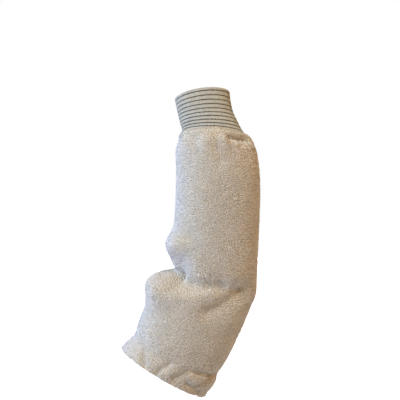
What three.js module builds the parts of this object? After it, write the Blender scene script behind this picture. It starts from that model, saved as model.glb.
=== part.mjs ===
// A terry cloth arm sleeve with a rib-knit wrist, in the shape it has on a raised, slightly bent arm.
// Millimetres. +Z runs up the forearm to the hand, +X is the side of the elbow's point, -Y faces the viewer.
// The origin is on the middle line of the knit cuff, where the wrist holds the sleeve.
//
// Every wall is lofted through a few sections. A section is an oval with a centre, a width and a depth, and
// two angles: lean turns its right end up, and tilt turns its front edge up.

import * as THREE from "three";

// Driving sizes
const CUFF_LENGTH = 66; // knit wrist, from the folded rim to its sewn end, along its middle
const WRIST_BELOW_RIM = 11.5; // where the wrist fills the cuff
const WRIST_WIDTH = 76; // outside of the knit at its rim
const WRIST_DEPTH = 60;
const SEAM_WIDTH = 95; // outside of the knit at its sewn end
const SEAM_DEPTH = 82;
const FOREARM_LENGTH = 184.5; // terry, from the end of the knit to the crease of the elbow
const FOREARM_WIDTH = 113;
const FOREARM_DEPTH = 102;
const UPPER_LENGTH = 115; // terry, from the crease of the elbow to the hem's stitches
const UPPER_WIDTH = 131;
const UPPER_DEPTH = 112;
const HEM_LENGTH = 31; // turned band round the upper arm

const KNIT_WALL = 2.6; // two layers of rib knit
const TERRY_WALL = 3;
const LIP_WALL = 2; // the terry where it is pulled in to the seam
const HEM_WALL = 5; // terry turned up on itself
const SEAM_LAP = 6.5; // how far the terry's lip stands up over the end of the knit
const SEAM_GAP = 0.3; // clearance between sewn pieces

const RING_COUNT = 10; // dark yarn rings in the knit
const RING_PITCH = 6.35; // between the first two rings
const RING_EASE = 0.19; // how much shorter each next pitch is, as the knit is stretched wider
const RING_DEPTH = 0.5; // how far a ring is sunk between the bands
const RIM_BAND = 4.5; // plain knit above the first ring

const FOLD_DEPTH = 20; // the largest fold, at the inside of the elbow
const FOLD_WIDTH = 20;
const GATHER_DEPTH = 1.3; // terry gathered on to the narrower knit
const GATHER_REACH = 24;
const GATHER_COUNT = 9;

// Directions of the four stretches of the sleeve, in degrees from straight down, positive to the left
const CUFF_ANGLE = -16.3;
const CUFF_TILT_ANGLE = 11.5; // the wrist leans away from the viewer
const FOREARM_ANGLE = 0;
const ELBOW_ANGLE = 25.8;
const HEM_ANGLE = 38.3;

const AROUND = 48; // facets round every wall
const OUTSIDE_ROWS = [4, 4, 5, 27]; // rows of the terry over its lap, gathers, plain part and folds
const INSIDE_ROWS = [7, 3, 4, 16];
const KNIT_LAP_ROWS = 3;
const KNIT_INSIDE_ROWS = 6;
const HEM_ROWS = 5;

// Sections of the cuff. along is a share of CUFF_LENGTH from the rim, and flare runs from 0, the wrist's
// size, to 1, the seam's. aside moves the middle, in shares of WRIST_WIDTH.
const CUFF_SECTIONS = [
  { along: 0.0, flare: 0.0, aside: 0.0, lean: 7.5, tilt: 12.5 },
  { along: 0.22, flare: -0.065, aside: -0.025, lean: 6, tilt: 12 },
  { along: 0.43, flare: -0.05, aside: -0.035, lean: 3.5, tilt: 11 },
  { along: 0.62, flare: 0.13, aside: -0.025, lean: 1, tilt: 10 },
  { along: 0.78, flare: 0.31, aside: -0.01, lean: -1.5, tilt: 9 },
  { along: 0.87, flare: 0.57, aside: 0.0, lean: -3, tilt: 8.5 },
  { along: 1.0, flare: 1.0, aside: 0.0, lean: -3, tilt: 8 },
];

// Sections of the terry from the seam to the elbow. along is a share of FOREARM_LENGTH, and swell runs from
// 0, the seam's size, to 1, the forearm's. aside and back move the middle, in shares of FOREARM_WIDTH and
// FOREARM_DEPTH.
const FOREARM_SECTIONS = [
  { along: 0.077, swell: 0.632, aside: 0.005, back: 0.002, lean: 0, tilt: 5 },
  { along: 0.21, swell: 0.867, aside: 0.024, back: -0.012, lean: 0, tilt: 3 },
  { along: 0.359, swell: 0.967, aside: 0.027, back: -0.022, lean: 0, tilt: 1 },
  { along: 0.522, swell: 1.0, aside: 0.018, back: -0.027, lean: -0.5, tilt: 0 },
  { along: 0.711, swell: 1.016, aside: 0.005, back: -0.027, lean: -3.5, tilt: 0 },
  { along: 1.0, swell: 1.1, aside: -0.02, back: -0.027, lean: -17.2, tilt: 0 },
];

const FOLDS_FROM = 0.61; // where the elbow's folds begin, as a share of FOREARM_LENGTH

// Sections from the elbow to the hem's stitches. along is a share of UPPER_LENGTH, and swell runs from 0,
// the forearm's size, to 1, the upper arm's.
const UPPER_SECTIONS = [
  { along: 0.31, swell: 0.79, aside: -0.035, back: -0.027, lean: -21.1, tilt: 0 },
  { along: 0.55, swell: 0.88, aside: -0.037, back: -0.022, lean: -22.8, tilt: 0 },
  { along: 0.79, swell: 0.86, aside: -0.037, back: -0.017, lean: -24, tilt: 0 },
  { along: 1.0, swell: 0.52, aside: -0.037, back: -0.012, lean: -26.6, tilt: 1 },
];

// Sections of the hem band. along is a share of HEM_LENGTH, and swell is as in the upper arm.
const HEM_SECTIONS = [
  { along: 0.5, swell: 0.76, aside: -0.032, back: -0.007, lean: -28.5, tilt: 4 },
  { along: 1.0, swell: 0.95, aside: -0.022, back: -0.002, lean: -29.7, tilt: 6 },
];

// Folds of the terry, each along a line on the cloth. angle is in degrees round the sleeve: 0 is the elbow's
// side, 90 the back, 180 the inside of the elbow and 270 the front. at is a share of the terry's length from
// seam to rim. rise is a share of FOLD_DEPTH, outwards if positive, and wide a share of FOLD_WIDTH.
const FOLDS = [
  { name: "left gather", angle: 236, at: 0.02, toAngle: 240, toAt: 0.07, rise: -0.06, wide: 0.3 },
  { name: "middle gather", angle: 268, at: 0.02, toAngle: 274, toAt: 0.1, rise: -0.09, wide: 0.35 },
  { name: "right gather", angle: 292, at: 0.03, toAngle: 288, toAt: 0.09, rise: -0.08, wide: 0.3 },
  { name: "seam bulge", angle: 260, at: 0.024, toAngle: 280, toAt: 0.03, rise: 0.09, wide: 0.35 },
  { name: "seam pocket", angle: 291, at: 0.016, toAngle: 322, toAt: 0.019, rise: -0.28, wide: 0.22 },
  { name: "band above the lobe", angle: 196, at: 0.41, toAngle: 236, toAt: 0.385, rise: -0.07, wide: 0.5 },
  { name: "upper lobe", angle: 203, at: 0.455, toAngle: 160, toAt: 0.448, rise: 0.6, wide: 0.95 },
  { name: "elbow crease", angle: 214, at: 0.583, toAngle: 140, toAt: 0.567, rise: -0.45, wide: 0.34 },
  { name: "crease end", angle: 208, at: 0.572, toAngle: 215, toAt: 0.588, rise: -0.14, wide: 0.25 },
  { name: "lower lobe", angle: 205, at: 0.66, toAngle: 160, toAt: 0.656, rise: 0.78, wide: 1.15 },
  { name: "pocket", angle: 208, at: 0.51, toAngle: 211, toAt: 0.562, rise: -0.3, wide: 0.7 },
  { name: "dimple edge", angle: 240, at: 0.5, toAngle: 246, toAt: 0.56, rise: 0.12, wide: 0.6 },
  { name: "upper elbow fold", angle: 274, at: 0.57, toAngle: 226, toAt: 0.613, rise: -0.4, wide: 0.58 },
  { name: "its right end", angle: 316, at: 0.566, toAngle: 288, toAt: 0.564, rise: -0.22, wide: 0.5 },
  { name: "its left end", angle: 218, at: 0.624, toAngle: 204, toAt: 0.642, rise: -0.12, wide: 0.4 },
  { name: "ridge between folds", angle: 276, at: 0.614, toAngle: 234, toAt: 0.652, rise: 0.16, wide: 0.55 },
  { name: "lower elbow fold", angle: 316, at: 0.57, toAngle: 282, toAt: 0.66, rise: -0.4, wide: 0.68 },
  { name: "back elbow fold", angle: 52, at: 0.564, toAngle: 118, toAt: 0.635, rise: -0.2, wide: 0.45 },
  { name: "elbow point", angle: 14, at: 0.569, toAngle: -14, toAt: 0.569, rise: 0.1, wide: 0.7 },
  { name: "left hem pleat", angle: 231, at: 0.95, toAngle: 238, toAt: 0.972, rise: -0.12, wide: 0.22 },
  { name: "middle hem pleat", angle: 264, at: 0.908, toAngle: 258, toAt: 0.98, rise: -0.18, wide: 0.22 },
  { name: "middle hem bulge", angle: 272, at: 0.935, toAngle: 268, toAt: 0.955, rise: 0.1, wide: 0.35 },
  { name: "long hem pleat", angle: 292, at: 0.9, toAngle: 280, toAt: 0.962, rise: -0.13, wide: 0.24 },
  { name: "rim pleat", angle: 300, at: 0.955, toAngle: 324, toAt: 0.978, rise: -0.18, wide: 0.2 },
  { name: "slanting hem pleat", angle: 330, at: 0.908, toAngle: 314, toAt: 0.95, rise: -0.15, wide: 0.2 },
  { name: "right hem bulge", angle: 352, at: 0.93, toAngle: 304, toAt: 0.928, rise: 0.14, wide: 0.5 },
  { name: "right hem pleat", angle: 350, at: 0.893, toAngle: 300, toAt: 0.898, rise: -0.2, wide: 0.22 },
  { name: "back hem pleat", angle: 96, at: 0.91, toAngle: 76, toAt: 1, rise: -0.12, wide: 0.3 },
  { name: "inner hem pleat", angle: 142, at: 0.93, toAngle: 150, toAt: 1, rise: -0.12, wide: 0.3 },
];

// The edge of the terry's lip on the knit. angle is where it wanders, drop how far down, as a share of
// SEAM_LAP, and wide how far round, in degrees.
const LIP_DROPS = [
  { angle: 228, drop: 0.2, wide: 14 },
  { angle: 274, drop: -0.4, wide: 16 },
  { angle: 308, drop: 0.65, wide: 14 },
  { angle: 20, drop: 0.25, wide: 18 },
  { angle: 96, drop: 0.3, wide: 22 },
  { angle: 150, drop: -0.2, wide: 16 },
];

const DEGREE = Math.PI / 180;
const COTTON = new THREE.MeshStandardMaterial({ color: 0xd9cfc0, roughness: 0.95, metalness: 0 });
const HEM_COTTON = new THREE.MeshStandardMaterial({ color: 0xd4cabb, roughness: 0.95, metalness: 0 });
const KNIT = new THREE.MeshStandardMaterial({ color: 0xcfc8b8, roughness: 0.85, metalness: 0 });

// Unit vector down a stretch that slants to the left and tilts to the viewer.
function downwards(slant, tilt = 0) {
  const fall = new THREE.Vector3(-Math.sin(slant * DEGREE), 0, -Math.cos(slant * DEGREE));
  return fall.multiplyScalar(Math.cos(tilt * DEGREE)).setY(-Math.sin(tilt * DEGREE));
}

function lerp(from, to, share) {
  return from + (to - from) * share;
}

// A section as placed: its centre, its half sizes and its angles, with its distance u down the sleeve.
function placed(u, { x, y, z }, width, depth, { lean, tilt }) {
  return { u, x, y, z, wide: width / 2, deep: depth / 2, lean, tilt };
}

// A smooth value between placed sections, by cubic pieces whose slopes are those of the neighbours.
function valueAt(rows, key, u) {
  let i = 0;
  while (i < rows.length - 2 && rows[i + 1].u < u) i += 1;
  const slope = (k) => {
    const low = rows[Math.max(k - 1, 0)];
    const high = rows[Math.min(k + 1, rows.length - 1)];
    return (high[key] - low[key]) / (high.u - low.u);
  };
  const span = rows[i + 1].u - rows[i].u;
  const t = Math.min(Math.max((u - rows[i].u) / span, 0), 1);
  const s = t * t * (3 - 2 * t);
  const bend = t * (1 - t) * span * (slope(i) * (1 - t) - slope(i + 1) * t);
  return lerp(rows[i][key], rows[i + 1][key], s) + bend;
}

// The oval at a distance u: its centre, and its directions to the right, to the back and up.
function sectionAt(rows, u) {
  const value = (key) => valueAt(rows, key, u);
  const lean = value("lean") * DEGREE;
  const tilt = value("tilt") * DEGREE;
  const right = new THREE.Vector3(Math.cos(lean), 0, Math.sin(lean));
  const up = new THREE.Vector3(-Math.sin(lean), 0, Math.cos(lean));
  const back = new THREE.Vector3(0, Math.cos(tilt), 0).addScaledVector(up, -Math.sin(tilt));
  const centre = new THREE.Vector3(value("x"), value("y"), value("z"));
  return { centre, right, back, wide: value("wide"), deep: value("deep") };
}

// A point of an oval that has shrunk by inset, and then moved out by rise.
function ovalPoint(section, angle, inset, rise) {
  const c = Math.cos(angle);
  const s = Math.sin(angle);
  const radius = 1 / Math.hypot(c / (section.wide - inset), s / (section.deep - inset)) + rise;
  const point = section.centre.clone().addScaledVector(section.right, radius * c);
  return point.addScaledVector(section.back, radius * s);
}

// Sections of the cuff, from the rim at u = 0 to the seam
const cuffDown = downwards(CUFF_ANGLE, CUFF_TILT_ANGLE);
const cuffRows = CUFF_SECTIONS.map((row) => {
  const centre = cuffDown.clone().multiplyScalar(row.along * CUFF_LENGTH - WRIST_BELOW_RIM);
  centre.x += row.aside * WRIST_WIDTH;
  const width = lerp(WRIST_WIDTH, SEAM_WIDTH, row.flare);
  const depth = lerp(WRIST_DEPTH, SEAM_DEPTH, row.flare);
  return placed(row.along * CUFF_LENGTH, centre, width, depth, row);
});

// Sections of the terry, from the top of its lip, over the knit, to the rim of the hem
const seam = cuffDown.clone().multiplyScalar(CUFF_LENGTH - WRIST_BELOW_RIM);
const elbow = seam.clone().addScaledVector(downwards(FOREARM_ANGLE), FOREARM_LENGTH);
const stitches = elbow.clone().addScaledVector(downwards(ELBOW_ANGLE), UPPER_LENGTH);
const stitchLine = FOREARM_LENGTH + UPPER_LENGTH;
const terryLength = stitchLine + HEM_LENGTH;
const lipSize = 2 * (SEAM_GAP + LIP_WALL);
const stretches = [
  {
    rows: FOREARM_SECTIONS, start: seam, slant: FOREARM_ANGLE, length: FOREARM_LENGTH, from: 0,
    widths: [SEAM_WIDTH + lipSize, FOREARM_WIDTH], depths: [SEAM_DEPTH + lipSize, FOREARM_DEPTH],
  },
  {
    rows: UPPER_SECTIONS, start: elbow, slant: ELBOW_ANGLE, length: UPPER_LENGTH, from: FOREARM_LENGTH,
    widths: [FOREARM_WIDTH, UPPER_WIDTH], depths: [FOREARM_DEPTH, UPPER_DEPTH],
  },
  {
    rows: HEM_SECTIONS, start: stitches, slant: HEM_ANGLE, length: HEM_LENGTH, from: stitchLine,
    widths: [FOREARM_WIDTH, UPPER_WIDTH], depths: [FOREARM_DEPTH, UPPER_DEPTH],
  },
];
const LIP_ROW_LAPS = [1.5, 1, 0.5, 0]; // how far up the lip each of its sections is, in laps
const lipRows = LIP_ROW_LAPS.map((laps) => {
  const above = laps * SEAM_LAP;
  const { centre, wide, deep } = sectionAt(cuffRows, CUFF_LENGTH - above);
  const lean = valueAt(cuffRows, "lean", CUFF_LENGTH - above);
  const tilt = valueAt(cuffRows, "tilt", CUFF_LENGTH - above);
  return placed(-above, centre, 2 * wide + lipSize, 2 * deep + lipSize, { lean, tilt });
});
const terryRows = lipRows.concat(
  stretches.flatMap(({ rows, start, slant, length, from, widths, depths }) =>
    rows.map((row) => {
      const centre = start.clone().addScaledVector(downwards(slant), row.along * length);
      centre.x += row.aside * FOREARM_WIDTH;
      centre.y += row.back * FOREARM_DEPTH;
      const u = from + row.along * length;
      return placed(u, centre, lerp(...widths, row.swell), lerp(...depths, row.swell), row);
    }),
  ),
);

// Each fold as a short run of points on the unfolded cloth
const FOLD_STEPS = 6;
const foldLines = FOLDS.map((fold) => {
  const points = [];
  for (let i = 0; i <= FOLD_STEPS; i += 1) {
    const share = i / FOLD_STEPS;
    const section = sectionAt(terryRows, lerp(fold.at, fold.toAt, share) * terryLength);
    points.push(ovalPoint(section, lerp(fold.angle, fold.toAngle, share) * DEGREE, 0, 0));
  }
  return { points, rise: fold.rise * FOLD_DEPTH, wide: fold.wide * FOLD_WIDTH };
});

function distanceToLine(point, line) {
  const near = new THREE.Vector3();
  let least = Infinity;
  for (let i = 0; i < line.length - 1; i += 1) {
    new THREE.Line3(line[i], line[i + 1]).closestPointToPoint(point, true, near);
    least = Math.min(least, near.distanceTo(point));
  }
  return least;
}

// How far folds and gathers move the terry outwards at a distance u and an angle.
function terryRise(u, angle) {
  const point = ovalPoint(sectionAt(terryRows, u), angle, 0, 0);
  let rise = 0;
  for (const fold of foldLines) {
    const away = distanceToLine(point, fold.points) / fold.wide;
    rise += fold.rise * Math.exp(-away * away);
  }
  const free = Math.min(Math.max(u / SEAM_LAP, 0), 1);
  const gather = Math.sin(GATHER_COUNT * angle) * Math.exp(-u / GATHER_REACH) * free;
  return rise + gather * GATHER_DEPTH;
}

// How far the knit goes with the terry sewn to it: wholly under the lap, and less and less above it.
function knitRise(u, angle) {
  const share = 1 + (u - CUFF_LENGTH + SEAM_LAP) / (2 * SEAM_LAP);
  return share > 0 ? terryRise(u - CUFF_LENGTH, angle) * Math.min(share, 1) : 0;
}

// How far the lip's edge, and less and less of the gathered cloth below it, has slipped down at an angle.
function lipDrop(u, angle) {
  const left = Math.min(Math.max((GATHER_REACH - u) / (GATHER_REACH + SEAM_LAP), 0), 1);
  let drop = 0;
  for (const row of LIP_DROPS) {
    const away = (((angle / DEGREE - row.angle) % 360) + 540) % 360 - 180;
    drop += row.drop * Math.exp(-((away / row.wide) ** 2));
  }
  return drop * SEAM_LAP * left;
}

function terryWall(u) {
  return lerp(LIP_WALL, TERRY_WALL, Math.min(Math.max(u / SEAM_LAP, 0), 1));
}

// A closed wall of cloth: a lathe whose radius is 1 on the inside and 2 on the outside, with each vertex then
// moved to its place. rows are pairs of a layer, 0 inside to 1 outside, and a distance down the sleeve.
function clothWall(name, material, rows, place) {
  const profile = rows.map(([layer, u]) => new THREE.Vector2(1 + layer, u));
  profile.push(profile[0].clone());
  const geometry = new THREE.LatheGeometry(profile, AROUND);
  const position = geometry.getAttribute("position");
  for (let i = 0; i < position.count; i += 1) {
    const flat = new THREE.Vector3().fromBufferAttribute(position, i);
    const point = place(flat.y, Math.atan2(flat.z, flat.x), Math.hypot(flat.x, flat.z) - 1);
    position.setXYZ(i, point.x, point.y, point.z);
  }
  geometry.computeVertexNormals();
  const mesh = new THREE.Mesh(geometry, material);
  mesh.name = name;
  return mesh;
}

// Layers and distances of a wall's rows, from its first end round its outside, its last end and back inside.
function wallRows(outside, inside, roundStart, roundEnd) {
  const first = outside[0];
  const last = outside[outside.length - 1];
  return [
    [0.5, first - roundStart],
    ...outside.map((u) => [1, u]),
    [0.5, last + roundEnd],
    ...inside.map((u) => [0, u]).reverse(),
  ];
}

function evenly(from, to, count) {
  return Array.from({ length: count + 1 }, (_, i) => lerp(from, to, i / count));
}

// Distance of a ring from the rim.
function ringAt(ring) {
  return RIM_BAND + ring * RING_PITCH - (ring * (ring - 1) * RING_EASE) / 2;
}

function knitCuff() {
  const round = KNIT_WALL / 2;
  const rings = Array.from({ length: RING_COUNT }, (_, ring) => ringAt(ring));
  const bands = rings.map((at, ring) => (at + ringAt(ring + 1)) / 2);
  const lap = CUFF_LENGTH - SEAM_LAP;
  const outside = [round, ...rings, ...bands].filter((u) => u < lap).sort((a, b) => a - b);
  outside.push(...evenly(lap, CUFF_LENGTH - round, KNIT_LAP_ROWS));
  const inside = evenly(round, CUFF_LENGTH - round, KNIT_INSIDE_ROWS);
  return clothWall("knit_cuff", KNIT, wallRows(outside, inside, round, round), (u, angle, layer) => {
    const sunk = layer === 1 && rings.includes(u) ? RING_DEPTH : 0;
    return ovalPoint(sectionAt(cuffRows, u), angle, (1 - layer) * KNIT_WALL, knitRise(u, angle) - sunk);
  });
}

// Rows of the terry's wall: close together where it is sewn, gathered or folded, and wider apart between.
function terryWallRows([lapped, gathered, plain, folded]) {
  const folds = FOLDS_FROM * FOREARM_LENGTH;
  const end = stitchLine - SEAM_GAP / 2;
  const rows = [...evenly(-SEAM_LAP, SEAM_LAP, lapped), ...evenly(SEAM_LAP, GATHER_REACH, gathered)];
  rows.push(...evenly(GATHER_REACH, folds, plain), ...evenly(folds, end, folded));
  return [...new Set(rows)];
}

function terryBody() {
  const rows = wallRows(terryWallRows(OUTSIDE_ROWS), terryWallRows(INSIDE_ROWS), LIP_WALL / 2, 0);
  return clothWall("terry_body", COTTON, rows, (level, angle, layer) => {
    const u = level + lipDrop(level, angle);
    return ovalPoint(sectionAt(terryRows, u), angle, (1 - layer) * terryWall(u), terryRise(u, angle));
  });
}

function armHem() {
  const start = stitchLine + SEAM_GAP / 2;
  const round = HEM_WALL / 2;
  const outside = evenly(start, terryLength - round, HEM_ROWS);
  return clothWall("arm_hem", HEM_COTTON, wallRows(outside, outside, 0, round), (u, angle, layer) =>
    ovalPoint(sectionAt(terryRows, u), angle, (1 - layer) * HEM_WALL, terryRise(u, angle)),
  );
}

const sleeve = new THREE.Group();
sleeve.name = "terry_arm_sleeve";
sleeve.add(knitCuff(), terryBody(), armHem());

export default sleeve;
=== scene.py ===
"""Looks of a terry cloth arm sleeve with a rib-knit wrist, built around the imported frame.

Sizes are in millimetres or in shares of a named size, and meshes are in metres, in the frame's
axes: +Z up the forearm to the hand, +X the side of the elbow's point, and -Y the viewer.
"""

import logging
import math
from collections.abc import Callable
from dataclasses import dataclass, field
from enum import Enum

import bpy
import numpy as np
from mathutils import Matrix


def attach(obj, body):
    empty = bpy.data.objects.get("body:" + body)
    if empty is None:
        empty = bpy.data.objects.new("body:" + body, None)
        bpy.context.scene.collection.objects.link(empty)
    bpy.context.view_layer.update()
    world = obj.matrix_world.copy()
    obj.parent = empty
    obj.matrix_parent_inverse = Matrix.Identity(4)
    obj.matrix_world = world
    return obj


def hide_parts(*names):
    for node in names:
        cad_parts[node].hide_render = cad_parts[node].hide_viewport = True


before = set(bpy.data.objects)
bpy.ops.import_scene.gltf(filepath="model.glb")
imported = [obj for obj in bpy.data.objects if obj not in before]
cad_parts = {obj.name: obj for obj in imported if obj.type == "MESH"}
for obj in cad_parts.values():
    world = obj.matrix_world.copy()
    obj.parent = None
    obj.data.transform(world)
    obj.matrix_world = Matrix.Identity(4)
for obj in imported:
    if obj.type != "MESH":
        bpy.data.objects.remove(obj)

MM = 0.001
DEGREE = math.pi / 180.0
TURN = 2.0 * math.pi
SEED = 4
TINY = 1e-9

# The woven ground lies this deep under the outside of the solids, in millimetres, and the loops
# that hide it are rooted a little deeper.
GROUND_DEPTH = 1.7
ROOT_DEPTH = 1.8

log = logging.getLogger("sleeve")
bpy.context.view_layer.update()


class Face(Enum):
    """The two sides of a cloth wall, as the way its pile points."""

    OUTSIDE = 1.0
    INSIDE = -1.0


# Shape of the sleeve


@dataclass(frozen=True)
class Section:
    """An oval across the sleeve.

    along is a share of its stretch's length. size runs from 0, the stretch's first width and
    depth, to 1, its second. aside and back move the middle, in shares of the shift sizes. lean
    turns the right end up and tilt turns the front edge up, in degrees.
    """

    along: float
    size: float
    aside: float
    back: float
    lean: float
    tilt: float


def downwards(slant: float, tilt: float) -> np.ndarray:
    """Unit vector away from the hand.

    Args:
        slant: turn to the left of straight down, in degrees.
        tilt: turn to the viewer, in degrees.

    Returns:
        The direction.
    """
    slant, tilt = slant * DEGREE, tilt * DEGREE
    level = math.cos(tilt)
    return np.array([-math.sin(slant) * level, -math.sin(tilt), -math.cos(slant) * level])


@dataclass(frozen=True)
class Stretch:
    """A straight run of the sleeve with its sections, which start from a point and a slant."""

    start: np.ndarray
    slant: float
    tilt: float
    length: float
    widths: tuple[float, float]
    depths: tuple[float, float]
    shifts: tuple[float, float]
    sections: tuple[Section, ...]
    before: float

    @property
    def down(self) -> np.ndarray:
        """Unit vector along the stretch, away from the hand."""
        return downwards(self.slant, self.tilt)

    def rows(self) -> list[list[float]]:
        """Works out the sections in millimetres.

        Returns:
            Distance, middle, half sizes and angles of each section.
        """
        made = []
        for row in self.sections:
            middle = self.start + self.down * row.along * self.length
            middle = middle + np.array([row.aside * self.shifts[0], row.back * self.shifts[1], 0.0])
            wide = self.widths[0] + (self.widths[1] - self.widths[0]) * row.size
            deep = self.depths[0] + (self.depths[1] - self.depths[0]) * row.size
            distance = self.before + row.along * self.length
            made.append([distance, *middle, wide / 2, deep / 2, row.lean, row.tilt])
        return made


class Loft:
    """Ovals down the sleeve with smooth middles, sizes and angles between them."""

    def __init__(self, rows: list[list[float]]) -> None:
        """Keeps the sections.

        Args:
            rows: distance, middle x, y and z, half width, half depth, lean and tilt of each.
        """
        table = np.array(rows)
        self.u = table[:, 0]
        self.values = table[:, 1:]
        last = len(rows) - 1
        low = np.maximum(np.arange(last + 1) - 1, 0)
        high = np.minimum(np.arange(last + 1) + 1, last)
        self.slopes = (self.values[high] - self.values[low]) / (self.u[high] - self.u[low])[:, None]

    def at(self, u: np.ndarray) -> np.ndarray:
        """Smooth values of the sections.

        Args:
            u: distances down the sleeve.

        Returns:
            Middle, half sizes and angles, seven numbers for each distance.
        """
        i = np.clip(np.searchsorted(self.u, u, side="left") - 1, 0, len(self.u) - 2)
        span = self.u[i + 1] - self.u[i]
        t = np.clip((u - self.u[i]) / span, 0.0, 1.0)[..., None]
        eased = t * t * (3.0 - 2.0 * t)
        bend = t * (1.0 - t) * span[..., None] * (self.slopes[i] * (1.0 - t) - self.slopes[i + 1] * t)
        return self.values[i] + (self.values[i + 1] - self.values[i]) * eased + bend

    def point(
        self, u: np.ndarray, angle: np.ndarray, inset: np.ndarray | float, rise: np.ndarray | float
    ) -> np.ndarray:
        """Points of the ovals.

        Args:
            u: distances down the sleeve.
            angle: directions round it, from the elbow's side by the back.
            inset: how much the oval has shrunk.
            rise: how far the points are then moved out.

        Returns:
            Points in millimetres.
        """
        x, y, z, wide, deep, lean, tilt = np.moveaxis(self.at(u), -1, 0)
        lean, tilt = lean * DEGREE, tilt * DEGREE
        zero = np.zeros_like(lean)
        right = np.stack([np.cos(lean), zero, np.sin(lean)], -1)
        up = np.stack([-np.sin(lean), zero, np.cos(lean)], -1)
        back = np.stack([zero, np.cos(tilt), zero], -1) - up * np.sin(tilt)[..., None]
        c, s = np.cos(angle), np.sin(angle)
        radius = 1.0 / np.hypot(c / (wide - inset), s / (deep - inset)) + rise
        middle = np.stack([x, y, z], -1)
        return middle + right * (radius * c)[..., None] + back * (radius * s)[..., None]


@dataclass(frozen=True)
class Fold:
    """A fold along a line on the cloth.

    Angles are in degrees round the sleeve: 0 is the elbow's side, 90 the back, 180 the inside of
    the elbow and 270 the front. at and to_at are shares of the terry's length. rise and wide are
    shares of the fold sizes, and a negative rise is a valley.
    """

    name: str
    angle: float
    at: float
    to_angle: float
    to_at: float
    rise: float
    wide: float


@dataclass(frozen=True)
class LipDrop:
    """A place where the edge of the terry's lip wanders on the knit.

    angle is where, drop how far down as a share of the lap, and wide how far round, in degrees.
    """

    angle: float
    drop: float
    wide: float


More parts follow.
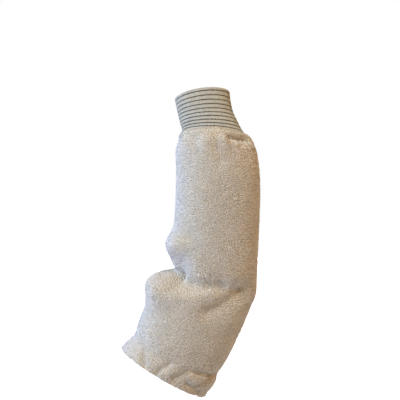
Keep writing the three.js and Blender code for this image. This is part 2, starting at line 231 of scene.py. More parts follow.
@dataclass
class SleeveShape:
    """The sleeve's driving sizes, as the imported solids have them, and its smooth form.

    Pairs of sizes are a width and a depth. lip_rings are places of the terry's first rings, in
    laps above the end of the knit.
    """

    cuff_length: float = 66.0
    wrist_below_rim: float = 11.5
    wrist: tuple[float, float] = (76.0, 60.0)
    seam: tuple[float, float] = (95.0, 82.0)
    forearm_length: float = 184.5
    forearm: tuple[float, float] = (113.0, 102.0)
    upper_length: float = 115.0
    upper: tuple[float, float] = (131.0, 112.0)
    hem_length: float = 31.0
    knit_wall: float = 2.6
    terry_wall: float = 3.0
    lip_wall: float = 2.0
    hem_wall: float = 5.0
    seam_lap: float = 6.5
    seam_gap: float = 0.3
    fold_depth: float = 20.0
    fold_width: float = 20.0
    gather_depth: float = 1.3
    gather_reach: float = 24.0
    gather_count: int = 9
    cuff_slant: float = -16.3
    cuff_tilt: float = 11.5
    forearm_slant: float = 0.0
    elbow_bend: float = 25.8
    hem_slant: float = 38.3
    cuff_sections: tuple[Section, ...] = (
        Section(0.0, 0.0, 0.0, 0.0, 7.5, 12.5),
        Section(0.22, -0.065, -0.025, 0.0, 6.0, 12.0),
        Section(0.43, -0.05, -0.035, 0.0, 3.5, 11.0),
        Section(0.62, 0.13, -0.025, 0.0, 1.0, 10.0),
        Section(0.78, 0.31, -0.01, 0.0, -1.5, 9.0),
        Section(0.87, 0.57, 0.0, 0.0, -3.0, 8.5),
        Section(1.0, 1.0, 0.0, 0.0, -3.0, 8.0),
    )
    forearm_sections: tuple[Section, ...] = (
        Section(0.077, 0.632, 0.005, 0.002, 0.0, 5.0),
        Section(0.21, 0.867, 0.024, -0.012, 0.0, 3.0),
        Section(0.359, 0.967, 0.027, -0.022, 0.0, 1.0),
        Section(0.522, 1.0, 0.018, -0.027, -0.5, 0.0),
        Section(0.711, 1.016, 0.005, -0.027, -3.5, 0.0),
        Section(1.0, 1.1, -0.02, -0.027, -17.2, 0.0),
    )
    upper_sections: tuple[Section, ...] = (
        Section(0.31, 0.79, -0.035, -0.027, -21.1, 0.0),
        Section(0.55, 0.88, -0.037, -0.022, -22.8, 0.0),
        Section(0.79, 0.86, -0.037, -0.017, -24.0, 0.0),
        Section(1.0, 0.52, -0.037, -0.012, -26.6, 1.0),
    )
    hem_sections: tuple[Section, ...] = (
        Section(0.5, 0.76, -0.032, -0.007, -28.5, 4.0),
        Section(1.0, 0.95, -0.022, -0.002, -29.7, 6.0),
    )
    folds: tuple[Fold, ...] = (
        Fold("left gather", 236.0, 0.02, 240.0, 0.07, -0.06, 0.3),
        Fold("middle gather", 268.0, 0.02, 274.0, 0.1, -0.09, 0.35),
        Fold("right gather", 292.0, 0.03, 288.0, 0.09, -0.08, 0.3),
        Fold("seam bulge", 260.0, 0.024, 280.0, 0.03, 0.09, 0.35),
        Fold("seam pocket", 291.0, 0.016, 322.0, 0.019, -0.28, 0.22),
        Fold("band above the lobe", 196.0, 0.41, 236.0, 0.385, -0.07, 0.5),
        Fold("upper lobe", 203.0, 0.455, 160.0, 0.448, 0.6, 0.95),
        Fold("elbow crease", 214.0, 0.583, 140.0, 0.567, -0.45, 0.34),
        Fold("crease end", 208.0, 0.572, 215.0, 0.588, -0.14, 0.25),
        Fold("lower lobe", 205.0, 0.66, 160.0, 0.656, 0.78, 1.15),
        Fold("pocket", 208.0, 0.51, 211.0, 0.562, -0.3, 0.7),
        Fold("dimple edge", 240.0, 0.5, 246.0, 0.56, 0.12, 0.6),
        Fold("upper elbow fold", 274.0, 0.57, 226.0, 0.613, -0.4, 0.58),
        Fold("its right end", 316.0, 0.566, 288.0, 0.564, -0.22, 0.5),
        Fold("its left end", 218.0, 0.624, 204.0, 0.642, -0.12, 0.4),
        Fold("ridge between folds", 276.0, 0.614, 234.0, 0.652, 0.16, 0.55),
        Fold("lower elbow fold", 316.0, 0.57, 282.0, 0.66, -0.4, 0.68),
        Fold("back elbow fold", 52.0, 0.564, 118.0, 0.635, -0.2, 0.45),
        Fold("elbow point", 14.0, 0.569, -14.0, 0.569, 0.1, 0.7),
        Fold("left hem pleat", 231.0, 0.95, 238.0, 0.972, -0.12, 0.22),
        Fold("middle hem pleat", 264.0, 0.908, 258.0, 0.98, -0.18, 0.22),
        Fold("middle hem bulge", 272.0, 0.935, 268.0, 0.955, 0.1, 0.35),
        Fold("long hem pleat", 292.0, 0.9, 280.0, 0.962, -0.13, 0.24),
        Fold("rim pleat", 300.0, 0.955, 324.0, 0.978, -0.18, 0.2),
        Fold("slanting hem pleat", 330.0, 0.908, 314.0, 0.95, -0.15, 0.2),
        Fold("right hem bulge", 352.0, 0.93, 304.0, 0.928, 0.14, 0.5),
        Fold("right hem pleat", 350.0, 0.893, 300.0, 0.898, -0.2, 0.22),
        Fold("back hem pleat", 96.0, 0.91, 76.0, 1.0, -0.12, 0.3),
        Fold("inner hem pleat", 142.0, 0.93, 150.0, 1.0, -0.12, 0.3),
    )
    lip_drops: tuple[LipDrop, ...] = (
        LipDrop(228.0, 0.2, 14.0),
        LipDrop(274.0, -0.4, 16.0),
        LipDrop(308.0, 0.65, 14.0),
        LipDrop(20.0, 0.25, 18.0),
        LipDrop(96.0, 0.3, 22.0),
        LipDrop(150.0, -0.2, 16.0),
    )
    fold_steps: int = 6
    lip_rings: tuple[float, ...] = (1.5, 1.0, 0.5, 0.0)
    cuff: Loft = field(init=False)
    terry: Loft = field(init=False)
    fold_lines: list[np.ndarray] = field(init=False)

    def __post_init__(self) -> None:
        """Places the sections and the folds' lines."""
        rim = -downwards(self.cuff_slant, self.cuff_tilt) * self.wrist_below_rim
        widths, depths = (self.wrist[0], self.seam[0]), (self.wrist[1], self.seam[1])
        cuff = Stretch(rim, self.cuff_slant, self.cuff_tilt, self.cuff_length, widths, depths, self.wrist,
                       self.cuff_sections, 0.0)
        self.cuff = Loft(cuff.rows())
        lip = 2.0 * (self.seam_gap + self.lip_wall)
        shift = self.forearm
        seam = cuff.start + cuff.down * self.cuff_length
        widths, depths = (self.seam[0] + lip, self.forearm[0]), (self.seam[1] + lip, self.forearm[1])
        forearm = Stretch(seam, self.forearm_slant, 0.0, self.forearm_length, widths, depths, shift,
                          self.forearm_sections, 0.0)
        elbow = seam + forearm.down * self.forearm_length
        widths, depths = (self.forearm[0], self.upper[0]), (self.forearm[1], self.upper[1])
        upper = Stretch(elbow, self.elbow_bend, 0.0, self.upper_length, widths, depths, shift,
                        self.upper_sections, self.forearm_length)
        stitches = elbow + upper.down * self.upper_length
        hem = Stretch(stitches, self.hem_slant, 0.0, self.hem_length, widths, depths, shift,
                      self.hem_sections, self.stitch_line)
        rows = []
        for laps in self.lip_rings:
            above = laps * self.seam_lap
            x, y, z, wide, deep, lean, tilt = self.cuff.at(np.array(self.cuff_length - above))
            rows.append([-above, x, y, z, wide + lip / 2, deep + lip / 2, lean, tilt])
        self.terry = Loft(rows + forearm.rows() + upper.rows() + hem.rows())
        self.fold_lines = []
        for fold in self.folds:
            share = np.linspace(0.0, 1.0, self.fold_steps + 1)
            u = (fold.at + (fold.to_at - fold.at) * share) * self.terry_length
            angle = (fold.angle + (fold.to_angle - fold.angle) * share) * DEGREE
            self.fold_lines.append(self.terry.point(u, angle, 0.0, 0.0))

    @property
    def stitch_line(self) -> float:
        """Distance from the end of the knit to the hem's stitches."""
        return self.forearm_length + self.upper_length

    @property
    def terry_length(self) -> float:
        """Distance from the end of the knit to the rim of the hem."""
        return self.stitch_line + self.hem_length

    def girth(self, u: float) -> float:
        """Length round the terry at a distance down it."""
        wide, deep = self.terry.at(np.array(u))[3:5]
        return math.pi * (wide + deep)

    def rise(self, u: np.ndarray, angle: np.ndarray) -> np.ndarray:
        """How far folds and gathers move the terry outwards.

        Args:
            u: distances down the terry.
            angle: directions round it.

        Returns:
            Distances in millimetres.
        """
        point = self.terry.point(u, angle, 0.0, 0.0)
        total = np.zeros(u.shape)
        for fold, line in zip(self.folds, self.fold_lines):
            least = np.full(u.shape, np.inf)
            for start, end in zip(line[:-1], line[1:]):
                way = end - start
                share = np.clip(((point - start) @ way) / (way @ way), 0.0, 1.0)
                near = start + share[..., None] * way
                least = np.minimum(least, np.linalg.norm(point - near, axis=-1))
            total += fold.rise * self.fold_depth * np.exp(-((least / (fold.wide * self.fold_width)) ** 2))
        wave = np.sin(self.gather_count * angle) * np.exp(-np.maximum(u, 0.0) / self.gather_reach)
        return total + wave * np.clip(u / self.seam_lap, 0.0, 1.0) * self.gather_depth

    def knit_rise(self, u: np.ndarray, angle: np.ndarray) -> np.ndarray:
        """How far the knit goes with the terry that is sewn to it.

        Args:
            u: distances down the cuff from its rim.
            angle: directions round it.

        Returns:
            Distances in millimetres, whole under the lap and less and less above it.
        """
        share = np.clip(1.0 + (u - self.cuff_length + self.seam_lap) / (2.0 * self.seam_lap), 0.0, 1.0)
        return self.rise(u - self.cuff_length, angle) * share

    def slipped(self, u: np.ndarray, angle: np.ndarray) -> np.ndarray:
        """Distances down the terry once the lip's edge and the cloth just below it have slipped.

        Args:
            u: distances before.
            angle: directions round the sleeve.

        Returns:
            Distances after.
        """
        left = np.clip((self.gather_reach - u) / (self.gather_reach + self.seam_lap), 0.0, 1.0)
        drop = np.zeros(u.shape)
        for row in self.lip_drops:
            away = (angle / DEGREE - row.angle + 180.0) % 360.0 - 180.0
            drop += row.drop * np.exp(-((away / row.wide) ** 2))
        return u + drop * self.seam_lap * left

    def terry_point(self, u: np.ndarray, angle: np.ndarray, inset: np.ndarray | float = 0.0) -> np.ndarray:
        """Points of the terry.

        Args:
            u: distances down the terry from the end of the knit.
            angle: directions round it.
            inset: depth under the outside.

        Returns:
            Points in millimetres.
        """
        return self.terry.point(u, angle, inset, self.rise(u, angle))


def surface_frame(
    place: Callable[[np.ndarray, np.ndarray], np.ndarray], u: np.ndarray, angle: np.ndarray
) -> tuple[np.ndarray, np.ndarray, np.ndarray, np.ndarray]:
    """Points of a surface with their directions.

    Args:
        place: gives a point for a distance and an angle.
        u: distances down the sleeve.
        angle: directions round it.

    Returns:
        Points, outward normals, directions round the sleeve and directions down it.
    """
    step_down, step_round = 0.4, 0.008
    point = place(u, angle)
    around = place(u, angle + step_round) - point
    down = place(u + step_down, angle) - point
    around /= np.linalg.norm(around, axis=-1, keepdims=True)
    out = np.cross(down, around)
    out /= np.linalg.norm(out, axis=-1, keepdims=True)
    down = np.cross(around, out)
    return point, out, around, down


# Meshes


def make_object(
    name: str, points: np.ndarray, quads: np.ndarray, slots: np.ndarray | None = None
) -> bpy.types.Object:
    """Makes a smooth mesh of four-sided faces.

    Args:
        name: name of the piece.
        points: corners in millimetres.
        quads: four corner numbers for each face.
        slots: material slot of each face.

    Returns:
        The new object.
    """
    mesh = bpy.data.meshes.new(name)
    mesh.vertices.add(len(points))
    mesh.vertices.foreach_set("co", (points * MM).astype(np.float32).ravel())
    mesh.loops.add(len(quads) * 4)
    mesh.loops.foreach_set("vertex_index", quads.astype(np.int32).ravel())
    mesh.polygons.add(len(quads))
    mesh.polygons.foreach_set("loop_start", np.arange(len(quads), dtype=np.int32) * 4)
    if slots is not None:
        mesh.polygons.foreach_set("material_index", slots.astype(np.int32))
    mesh.update(calc_edges=True)
    mesh.validate()
    mesh.shade_smooth()
    piece = bpy.data.objects.new(name, mesh)
    bpy.context.collection.objects.link(piece)
    return piece


def half_turn(count: int) -> np.ndarray:
    """Angles between the two ends of a rounded edge.

    Args:
        count: number of angles with the two ends, which are left out.

    Returns:
        Angles in radians, from just past the outside to just before the inside.
    """
    return np.linspace(0.0, math.pi, count)[1:-1]


def ring_grid(u: np.ndarray, value: np.ndarray, columns: int) -> tuple[np.ndarray, np.ndarray, np.ndarray]:
    """Grid of points round the sleeve.

    Args:
        u: distance of each ring.
        value: another value of each ring, such as its depth.
        columns: points in each ring.

    Returns:
        Distances, angles and values, ring by ring.
    """
    angle = np.arange(columns) / columns * TURN
    grid_u, grid_angle = np.meshgrid(u, angle, indexing="ij")
    return grid_u, grid_angle, np.repeat(value[:, None], columns, axis=1)


def ring_quads(rows: int, columns: int) -> np.ndarray:
    """Faces of a grid that closes round the sleeve, and from its last ring to its first.

    Args:
        rows: number of rings.
        columns: points in each ring.

    Returns:
        Four corner numbers for each face, row by row.
    """
    row = np.arange(rows)
    column = np.arange(columns)
    here = row[:, None] * columns + column
    beside = row[:, None] * columns + (column + 1) % columns
    below = ((row + 1) % rows)[:, None] * columns
    return np.stack([here, below + column, below + (column + 1) % columns, beside], -1).reshape(-1, 4)


def tubes(
    lines: np.ndarray, side: np.ndarray, radius: np.ndarray, sides: int
) -> tuple[np.ndarray, np.ndarray]:
    """Many yarns at once, each a tube along its own line.

    Args:
        lines: points of each yarn's middle, as yarns by points by three.
        side: a direction across each yarn at each point.
        radius: half thickness of each yarn at each point.
        sides: number of sides of a tube.

    Returns:
        Points and four-sided faces.
    """
    count, length = lines.shape[:2]
    along = np.gradient(lines, axis=1)
    along /= np.linalg.norm(along, axis=-1, keepdims=True) + TINY
    side = side - along * (side * along).sum(-1, keepdims=True)
    side /= np.linalg.norm(side, axis=-1, keepdims=True) + TINY
    other = np.cross(along, side)
    turn = np.arange(sides) / sides * TURN
    ring = side[:, :, None] * np.cos(turn)[:, None] + other[:, :, None] * np.sin(turn)[:, None]
    points = lines[:, :, None] + ring * radius[:, :, None, None]
    first = np.arange(count)[:, None, None] * length * sides
    step = np.arange(length - 1)[:, None] * sides
    column = np.arange(sides)
    here = first + step + column
    beside = first + step + (column + 1) % sides
    quads = np.stack([here, beside, beside + sides, here + sides], -1)
    return points.reshape(-1, 3), quads.reshape(-1, 4)


# Finishes


def linear(colour: str) -> tuple[float, float, float, float]:
    """Turns an sRGB hex colour into the linear one that shaders take.

    Args:
        colour: such as #d9cfbf.

    Returns:
        Red, green, blue and alpha.
    """
    channels = [int(colour[i:i + 2], 16) / 255.0 for i in (1, 3, 5)]
    bent = [c / 12.92 if c <= 0.04045 else ((c + 0.055) / 1.055) ** 2.4 for c in channels]
    return bent[0], bent[1], bent[2], 1.0


def add_node(
    tree: bpy.types.NodeTree,
    kind: str,
    settings: dict[str, object] | None = None,
    inputs: dict[str | int, object] | None = None,
) -> bpy.types.Node:
    """Adds a node with its settings and links.

    Args:
        tree: the tree that gets the node.
        kind: the node's type.
        settings: attributes to set.
        inputs: for each input, a socket to link or a value to set.

    Returns:
        The node.
    """
    node = tree.nodes.new(kind)
    for name, value in (settings or {}).items():
        setattr(node, name, value)
    for name, value in (inputs or {}).items():
        if isinstance(value, bpy.types.NodeSocket):
            tree.links.new(value, node.inputs[name])
        else:
            node.inputs[name].default_value = value
    return node


@dataclass(frozen=True)
class CottonFinish:
    """Carded cotton yarn, unbleached: matt, with a faint halo of fibres and tiny flecks.

    The tint goes from dark to light over a mottle of mottle_mm, where the pattern passes through
    spread. by_yarn is how much of it goes by whole yarns instead. Single fibres are too fine to
    show, so fibre_mm is a bundle of them, and fibre_depth_mm is how far it stands up.
    """

    name: str
    light: str
    dark: str
    mottle_mm: float
    fibre_mm: float
    fibre_depth_mm: float
    roughness: float = 0.95
    sheen: float = 0.05
    sheen_roughness: float = 0.6
    specular: float = 0.2
    by_yarn: float = 0.0
    spread: tuple[float, float] = (0.3, 0.7)
    mottle_detail: float = 3.0
    mottle_roughness: float = 0.6
    fibre_detail: float = 2.0

    def material(self) -> bpy.types.Material:
        """Builds the node material.

        Returns:
            The material.
        """
        made = bpy.data.materials.new(self.name)
        made.use_nodes = True
        tree = made.node_tree
        tree.nodes.clear()
        place = add_node(tree, "ShaderNodeTexCoord").outputs["Object"]
        mottle = add_node(tree, "ShaderNodeTexNoise", {"noise_dimensions": "3D"},
                          {"Vector": place, "Scale": 1.0 / (self.mottle_mm * MM),
                           "Detail": self.mottle_detail, "Roughness": self.mottle_roughness})
        share = mottle.outputs["Fac"]
        if self.by_yarn:
            island = add_node(tree, "ShaderNodeNewGeometry").outputs["Random Per Island"]
            share = add_node(tree, "ShaderNodeMix", {"data_type": "FLOAT"},
                             {"Factor": self.by_yarn, "A": share, "B": island}).outputs["Result"]
        spread = add_node(tree, "ShaderNodeMapRange", {},
                          {"Value": share, "From Min": self.spread[0], "From Max": self.spread[1]})
        colour = add_node(tree, "ShaderNodeMix", {"data_type": "RGBA"},
                          {"Factor": spread.outputs["Result"], "A": linear(self.dark),
                           "B": linear(self.light)})
        fibre = add_node(tree, "ShaderNodeTexNoise", {"noise_dimensions": "3D"},
                         {"Vector": place, "Scale": 1.0 / (self.fibre_mm * MM), "Detail": self.fibre_detail})
        bump = add_node(tree, "ShaderNodeBump", {},
                        {"Height": fibre.outputs["Fac"], "Distance": self.fibre_depth_mm * MM,
                         "Strength": 1.0})
        shader = add_node(tree, "ShaderNodeBsdfPrincipled", {},
                          {"Base Color": colour.outputs["Result"], "Roughness": self.roughness,
                           "Normal": bump.outputs["Normal"], "Sheen Weight": self.sheen,
                           "Sheen Roughness": self.sheen_roughness, "Specular IOR Level": self.specular})
        add_node(tree, "ShaderNodeOutputMaterial", {}, {"Surface": shader.outputs["BSDF"]})
        return made


# Loops of soft carded yarn: matt and pale, with a darker yarn here and there among them.
PILE_YARN = CottonFinish("carded_cotton_loops", "#e4dac8", "#c9bca2", 5.0, 0.5, 0.2, by_yarn=0.85,
                         spread=(0.05, 0.32))
# Ground of a terry: a plain weave of harder twisted yarn, which shows between the loops. Its colour is
# darker and browner than the loops' cotton: painted shade of the deep gaps between the loops.
SHADED_GROUND_WEAVE = CottonFinish("cotton_ground_weave_painted_shade", "#b3a68b", "#9e8f73", 2.5, 0.8, 0.3)
# Rib knit of combed cotton: smoother than the terry, with a soft light on each rib.
RIB_YARN = CottonFinish("cream_rib_knit", "#c4bdaa", "#908772", 1.2, 0.4, 0.12, spread=(0.36, 0.64))
# Dark grey-green yarn of the rings, with paler fibres of the cotton round it.
RING_YARN = CottonFinish("dark_ring_yarn", "#463f28", "#252012", 1.2, 0.4, 0.12, sheen=0.0)
# Three-ply sewing cotton, a little tighter and smoother than the cloth.
SEWING_COTTON = CottonFinish("sewing_cotton", "#d8cfbd", "#c2b7a2", 1.5, 0.3, 0.05, roughness=0.8,
                             sheen=0.15)


def dress(piece: bpy.types.Object, slot: str, *finishes: bpy.types.Material) -> None:
    """Gives a piece its materials and its body.

    Args:
        piece: the piece.
        slot: not used.
        finishes: materials, in the order of the faces' slots.
    """
    for finish in finishes:
        piece.data.materials.append(finish)
    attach(piece, "root")
    log.info("%s: %d faces, size %s mm", piece.name, len(piece.data.polygons),
             [round(side / MM) for side in piece.dimensions])


# Pieces


@dataclass
class KnitCuff:
    """The doubled rib-knit wrist with its dark rings.

    Its ribs are about 2 mm wide. The courses are drawn a little coarser than real ones, so that
    they show. ring_ease is how much closer each ring lies than the last. dark_share is how much
    of a ring's height its dark yarn fills, less on a rib and more in a furrow by dark_wave.
    """

    shape: SleeveShape
    rings: int = 10
    ring_pitch: float = 6.35
    ring_ease: float = 0.19
    rim_band: float = 4.5
    ring_height: float = 1.7
    ring_depth: float = 0.35
    course: float = 0.95
    rows_a_course: int = 2
    least_rows: int = 4
    ribs: int = 116
    columns_a_rib: int = 5
    rib_depth: float = 0.8
    stitch_depth: float = 0.25
    inner_rows: int = 12
    rim_points: int = 8
    dark_share: float = 0.75
    dark_wave: float = 0.35

    def ring_at(self, ring: int) -> float:
        """Distance of a ring from the rim."""
        return self.rim_band + ring * self.ring_pitch - ring * (ring - 1) * self.ring_ease / 2

    def rows(self) -> np.ndarray:
        """Places the outside's rows, closer together at each ring.

        Returns:
            Distances from the rim.
        """
        half = self.ring_height / 2
        marks = [self.knit_round]
        for ring in range(self.rings):
            at = self.ring_at(ring)
            marks += [at - half, at + half]
        marks.append(self.shape.cuff_length)
        rows = [marks[0]]
        for start, end in zip(marks[:-1], marks[1:]):
            steps = max(round((end - start) / self.course * self.rows_a_course), self.least_rows)
            rows += list(np.linspace(start, end, steps + 1)[1:])
        return np.array(rows)

    @property
    def knit_round(self) -> float:
        """Half the wall, which the folded rim rounds."""
        return self.shape.knit_wall / 2

    def build(self) -> bpy.types.Object:
        """Makes the cuff as one closed wall.

        Returns:
            The piece.
        """
        shape = self.shape
        columns = self.ribs * self.columns_a_rib
        outside = self.rows()
        inside = np.linspace(shape.cuff_length, self.knit_round, self.inner_rows)
        turn = half_turn(self.rim_points)
        rim_u = self.knit_round * (1.0 - np.sin(turn))
        rim_layer = 0.5 - 0.5 * np.cos(turn)
        u = np.concatenate([outside, inside, rim_u])
        layer = np.concatenate([np.ones(len(outside)), np.zeros(len(inside)), rim_layer])
        grid_u, grid_angle, grid_layer = ring_grid(u, layer, columns)
        wale = grid_angle / TURN * self.ribs
        rib = 0.5 + 0.5 * np.cos(wale * TURN)
        slope = np.abs((wale % 1.0) - 0.5)
        stitch = np.cos((grid_u / self.course + slope) * TURN)
        relief = grid_layer * ((rib - 1.0) * self.rib_depth + stitch * self.stitch_depth)
        away = np.min([np.abs(grid_u - self.ring_at(ring)) for ring in range(self.rings)], axis=0)
        relief -= grid_layer * self.ring_depth * np.exp(-((away / self.ring_height) ** 2))
        relief += shape.knit_rise(grid_u, grid_angle)
        points = shape.cuff.point(grid_u, grid_angle, (1.0 - grid_layer) * shape.knit_wall, relief)
        quads = ring_quads(len(u), columns)
        middle = (outside[:-1] + outside[1:]) / 2
        away = np.min([np.abs(middle - self.ring_at(ring)) for ring in range(self.rings)], axis=0)
        phase = (np.arange(columns) + 0.5) / self.columns_a_rib * TURN
        half = self.ring_height / 2 * (self.dark_share - self.dark_wave * np.cos(phase))
        slots = np.zeros((len(u), columns), int)
        slots[:len(middle)] = away[:, None] < half
        piece = make_object("knit_cuff_fabric", points.reshape(-1, 3), quads, slots.ravel())
        dress(piece, "knit", RIB_YARN.material(), RING_YARN.material())
        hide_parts("knit_cuff")
        return piece


@dataclass
class TerryGround:
    """The woven ground of the terry: the tube that the loops stand on."""

    shape: SleeveShape
    columns: int = 144
    row_step: float = 2.8
    inner_step: float = 5.0
    lip_points: int = 6

    def build(self) -> bpy.types.Object:
        """Makes the tube as one closed wall.

        Returns:
            The piece.
        """
        shape = self.shape
        start, end = -shape.seam_lap, shape.stitch_line - shape.seam_gap / 2
        outside = np.linspace(start, end, round((end - start) / self.row_step))
        inside = np.linspace(end, start, round((end - start) / self.inner_step))
        turn = half_turn(self.lip_points)
        lip = start - shape.lip_wall / 2 * np.sin(turn)
        lip_layer = 0.5 - 0.5 * np.cos(turn)
        u = np.concatenate([outside, inside, lip])
        layer = np.concatenate([np.ones(len(outside)), np.zeros(len(inside)), lip_layer])
        grid_u, grid_angle, grid_layer = ring_grid(u, layer, self.columns)
        grid_u = shape.slipped(grid_u, grid_angle)
        grown = np.clip(grid_u / shape.seam_lap, 0.0, 1.0)
        wall = shape.lip_wall + (shape.terry_wall - shape.lip_wall) * grown
        inset = (1.0 - grid_layer) * wall + grid_layer * GROUND_DEPTH * grown
        points = shape.terry_point(grid_u, grid_angle, inset)
        piece = make_object("terry_cloth", points.reshape(-1, 3), ring_quads(len(u), self.columns))
        # The ground's colour is painted shade of the gaps between the loops.
        dress(piece, "terry", SHADED_GROUND_WEAVE.material())
        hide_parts("terry_body")
        return piece


@dataclass
class HemBand:
    """The band at the upper arm: terry turned up on itself."""

    shape: SleeveShape
    columns: int = 224
    row_step: float = 1.9
    rim_points: int = 8

    def build(self) -> bpy.types.Object:
        """Makes the band as one closed wall.

        Returns:
            The piece.
        """
        shape = self.shape
        round_end = shape.hem_wall / 2 - GROUND_DEPTH
        start, end = shape.stitch_line + shape.seam_gap / 2, shape.terry_length - shape.hem_wall / 2
        outside = np.linspace(start, end, round((end - start) / self.row_step))
        turn = half_turn(self.rim_points)
        u = np.concatenate([outside, end + round_end * np.sin(turn), outside[::-1]])
        inset = np.concatenate([
            np.full(len(outside), GROUND_DEPTH),
            shape.hem_wall / 2 - round_end * np.cos(turn),
            np.full(len(outside), shape.hem_wall - GROUND_DEPTH),
        ])
        grid_u, grid_angle, grid_inset = ring_grid(u, inset, self.columns)
        points = shape.terry_point(grid_u, grid_angle, grid_inset)
        piece = make_object("arm_hem_cloth", points.reshape(-1, 3), ring_quads(len(u), self.columns))
        # The ground's colour is painted shade of the gaps between the loops.
        dress(piece, "hem", SHADED_GROUND_WEAVE.material())
        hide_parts("arm_hem")
        return piece


@dataclass
class LoopPatch:
    """Loops of one region of the cloth, joined in one mesh."""

    name: str
    slot: str
    start: float
    end: float
    face: Face = Face.OUTSIDE
    root_depth: float = ROOT_DEPTH


@dataclass
class TerryPile:
    """The terry's uncut loops, real arches of yarn that stand on the ground weave.

    They are drawn about a quarter coarser than real ones, so that they show and each piece stays
    light. Spreads and disorder are shares of the size that they vary, and lean is the usual shift
    of a loop's top, as a share of its height. The shares that end the patches are of the lap, the
    forearm and the upper arm, and the margins keep the loops off the hem's stitches and rim.
    """

    shape: SleeveShape
    spacing: float = 1.5
    disorder: float = 0.35
    height: float = 1.75
    height_spread: float = 0.3
    width: float = 0.8
    width_spread: float = 0.3
    yarn: float = 0.56
    yarn_spread: tuple[float, float] = (-0.2, 0.25)
    lean: float = 0.18
    points: int = 3
    sides: int = 3
    lap_share: float = 0.85
    forearm_share: float = 0.52
    elbow_share: float = 0.14
    stitch_margin: float = 0.3
    rim_margin: float = 1.6
    inner_stitch_margin: float = 1.0
    inner_rim_margin: float = 2.0

    def patches(self) -> tuple[LoopPatch, ...]:
        """Divides the pile into regions, each small enough for one mesh.

        Returns:
            The regions, from the knit to the hem.
        """
        shape = self.shape
        lip = -shape.seam_lap * self.lap_share
        half = shape.forearm_length * self.forearm_share
        elbow = shape.forearm_length + shape.upper_length * self.elbow_share
        stitches, rim = shape.stitch_line, shape.terry_length
        return (
            LoopPatch("upper_forearm_loops", "terry", lip, half),
            LoopPatch("lower_forearm_loops", "terry", half, elbow),
            LoopPatch("upper_arm_loops", "terry", elbow, stitches - self.stitch_margin),
            LoopPatch("hem_loops", "hem", stitches + self.stitch_margin, rim - self.rim_margin),
            LoopPatch("hem_inner_loops", "hem", stitches + self.inner_stitch_margin,
                      rim - self.inner_rim_margin, Face.INSIDE, shape.hem_wall - ROOT_DEPTH),
        )

    def roots(self, patch: LoopPatch, random: np.random.Generator) -> tuple[np.ndarray, np.ndarray]:
        """Places of the loops, evenly spread with some disorder.

        Args:
            patch: the region.
            random: source of the disorder.

        Returns:
            Distances and angles.
        """
        rows = max(round((patch.end - patch.start) / self.spacing), 1)
        found_u, found_angle = [], []
        for row in range(rows):
            u = patch.start + (row + 0.5) * (patch.end - patch.start) / rows
            count = round(self.shape.girth(u) / self.spacing)
            slip = random.uniform(-self.disorder, self.disorder, (2, count))
            found_angle.append((np.arange(count) + 0.5 * (row % 2) + slip[0]) / count * TURN)
            found_u.append(u + slip[1] * self.spacing)
        angle = np.concatenate(found_angle)
        return self.shape.slipped(np.concatenate(found_u), angle), angle

    def build(
        self, patch: LoopPatch, random: np.random.Generator, finish: bpy.types.Material
    ) -> bpy.types.Object:
        """Makes the loops of one region.

        Args:
            patch: the region.
            random: source of the disorder.
            finish: the yarn's material.

        Returns:
            The piece.
        """
        u, angle = self.roots(patch, random)
        root, out, around, down = surface_frame(
            lambda a, b: self.shape.terry_point(a, b, patch.root_depth), u, angle)
        out = out * patch.face.value
        count = len(u)
        yaw = random.uniform(0.0, TURN, count)[:, None]
        across = around * np.cos(yaw) + down * np.sin(yaw)
        beside = np.cross(out, across)
        height = self.height * (1.0 + random.uniform(-1.0, 1.0, count) * self.height_spread)
        width = self.width * (1.0 + random.uniform(-1.0, 1.0, count) * self.width_spread)
        lean = random.normal(0.0, self.lean, (count, 2))
        share = np.linspace(0.0, 1.0, self.points)
        lift = np.sin(share * math.pi)
        lines = root[:, None] + across[:, None] * ((share - 0.5) * width[:, None])[..., None]
        lines = lines + out[:, None] * (lift * height[:, None])[..., None]
        tip = across * lean[:, :1] + beside * lean[:, 1:]
        lines = lines + tip[:, None] * (lift**2 * height[:, None])[..., None]
        yarn = self.yarn * (1.0 + random.uniform(*self.yarn_spread, (count, self.points)))
        side = np.repeat(beside[:, None], self.points, axis=1)
        points, quads = tubes(lines, side, yarn, self.sides)
        piece = make_object(patch.name, points, quads)
        dress(piece, patch.slot, finish)
        return piece


@dataclass
class Stitching:
    """Rows of straight stitches in sewing cotton.

    thread is half its thickness, and sink how far a stitch's ends go in, in times that. cuff_row
    is the place of the seam's row down the terry, and the depths are of the thread's middle under
    the outside of the cloth.
    """

    shape: SleeveShape
    stitch: float = 3.2
    gap: float = 0.7
    thread: float = 0.32
    sink: float = 2.0
    points: int = 5
    sides: int = 5
    cuff_row: float = -2.4
    cuff_depth: float = -0.1
    hem_depth: float = 1.4

    def build(self, name: str, slot: str, u: float, inset: float) -> bpy.types.Object:
        """Makes one row round the sleeve.

        Args:
            name: name of the piece.
            slot: material slot of the record.
            u: distance of the row down the terry.
            inset: depth of the thread under the cloth's outside.

        Returns:
            The piece.
        """
        count = round(self.shape.girth(u) / (self.stitch + self.gap))
        share = np.linspace(0.0, self.stitch / (self.stitch + self.gap), self.points)
        angle = (np.arange(count)[:, None] + share) / count * TURN
        dip = np.abs(np.linspace(-1.0, 1.0, self.points)) ** 3 * self.thread * self.sink
        point, out, _, down = surface_frame(
            lambda a, b: self.shape.terry_point(a, b, inset), np.full(angle.shape, u), angle)
        lines = point - out * dip[:, None]
        radius = np.full(angle.shape, self.thread)
        points, quads = tubes(lines, down, radius, self.sides)
        piece = make_object(name, points, quads)
        dress(piece, slot, SEWING_COTTON.material())
        return piece


@dataclass(frozen=True)
class Lamp:
    """A soft square lamp: its place and side in metres, its power in watts and its colour."""

    name: str
    place: tuple[float, float, float]
    size: float
    power: float
    colour: str


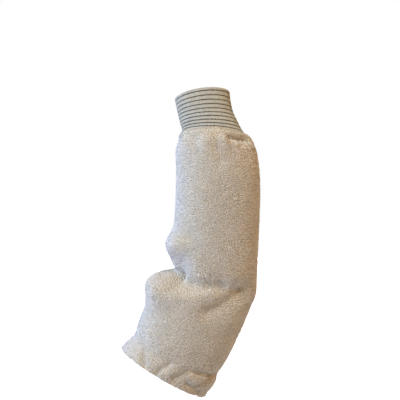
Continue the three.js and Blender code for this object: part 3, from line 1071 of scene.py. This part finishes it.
@dataclass
class Studio:
    """Camera at the photo's place, cool light from the left, a warm fill and a pale floor.

    Places and sizes are in metres. sky is the strength of the light from all round.
    """

    eye: tuple[float, float, float] = (-0.0062, -0.76, -0.1315)
    lens: float = 50.0
    sensor: float = 36.0
    floor_z: float = -0.43
    floor_size: float = 12.0
    aim: tuple[float, float, float] = (0.0, 0.0, -0.19)
    sky: float = 0.06
    lamps: tuple[Lamp, ...] = (
        Lamp("window", (-1.7, -0.8, 0.1), 1.5, 33.0, "#86a5ff"),
        Lamp("key", (-0.9, -1.4, 1.1), 0.4, 42.2, "#e4f4ff"),
        Lamp("room", (1.1, -1.4, 1.0), 0.4, 18.7, "#ffca82"),
        Lamp("back", (0.7, 1.8, 0.3), 1.5, 20.0, "#fff6ea"),
    )

    def light(self, lamp: Lamp) -> None:
        """Adds a lamp that faces the sleeve.

        Args:
            lamp: the lamp.
        """
        data = bpy.data.lights.new(lamp.name, "AREA")
        data.size, data.energy, data.color = lamp.size, lamp.power, linear(lamp.colour)[:3]
        piece = bpy.data.objects.new(lamp.name, data)
        piece.location = lamp.place
        way = np.array(self.aim) - np.array(lamp.place)
        piece.rotation_euler = (
            math.acos(-way[2] / np.linalg.norm(way)), 0.0, math.atan2(way[1], way[0]) - math.pi / 2)
        bpy.context.collection.objects.link(piece)

    def build(self) -> None:
        """Sets up the camera, the lamps, the world and the floor."""
        scene = bpy.context.scene
        data = bpy.data.cameras.new("camera")
        data.lens, data.sensor_width = self.lens, self.sensor
        camera = bpy.data.objects.new("camera", data)
        camera.location = self.eye
        camera.rotation_euler = (math.pi / 2, 0.0, 0.0)
        bpy.context.collection.objects.link(camera)
        scene.camera = camera
        scene.view_settings.view_transform = "Standard"
        for lamp in self.lamps:
            self.light(lamp)
        world = bpy.data.worlds.new("studio")
        scene.world = world
        world.use_nodes = True
        tree = world.node_tree
        tree.nodes.clear()
        seen = add_node(tree, "ShaderNodeLightPath").outputs["Is Camera Ray"]
        strength = add_node(tree, "ShaderNodeMix", {"data_type": "FLOAT"},
                            {"Factor": seen, "A": self.sky, "B": 1.0})
        glow = add_node(tree, "ShaderNodeBackground", {},
                        {"Color": (1.0, 1.0, 1.0, 1.0), "Strength": strength.outputs["Result"]})
        add_node(tree, "ShaderNodeOutputWorld", {}, {"Surface": glow.outputs["Background"]})
        half = self.floor_size / 2 / MM
        low = self.floor_z / MM
        corners = np.array([[-half, -half, low], [half, -half, low], [half, half, low], [-half, half, low]])
        floor = make_object("floor", corners, np.array([[0, 1, 2, 3]]))
        paper = bpy.data.materials.new("white_paper")
        paper.use_nodes = True
        tree = paper.node_tree
        tree.nodes.clear()
        seen = add_node(tree, "ShaderNodeLightPath").outputs["Is Camera Ray"]
        shader = add_node(tree, "ShaderNodeBsdfPrincipled", {},
                          {"Base Color": linear("#f6f6f6"), "Roughness": 0.9,
                           "Emission Color": linear("#ffffff"), "Emission Strength": seen})
        add_node(tree, "ShaderNodeOutputMaterial", {}, {"Surface": shader.outputs["BSDF"]})
        floor.data.materials.append(paper)


def main() -> None:
    """Builds the pieces in order and the studio round them."""
    logging.basicConfig(level=logging.INFO, format="%(name)s %(message)s")
    random = np.random.default_rng(SEED)
    shape = SleeveShape()
    Studio().build()
    KnitCuff(shape).build()
    TerryGround(shape).build()
    HemBand(shape).build()
    pile = TerryPile(shape)
    yarn = PILE_YARN.material()
    for patch in pile.patches():
        pile.build(patch, random, yarn)
    stitching = Stitching(shape)
    stitching.build("cuff_seam_stitches", "terry", stitching.cuff_row, stitching.cuff_depth)
    stitching.build("hem_stitches", "hem", shape.stitch_line, stitching.hem_depth)


if __name__ == "__main__":
    main()
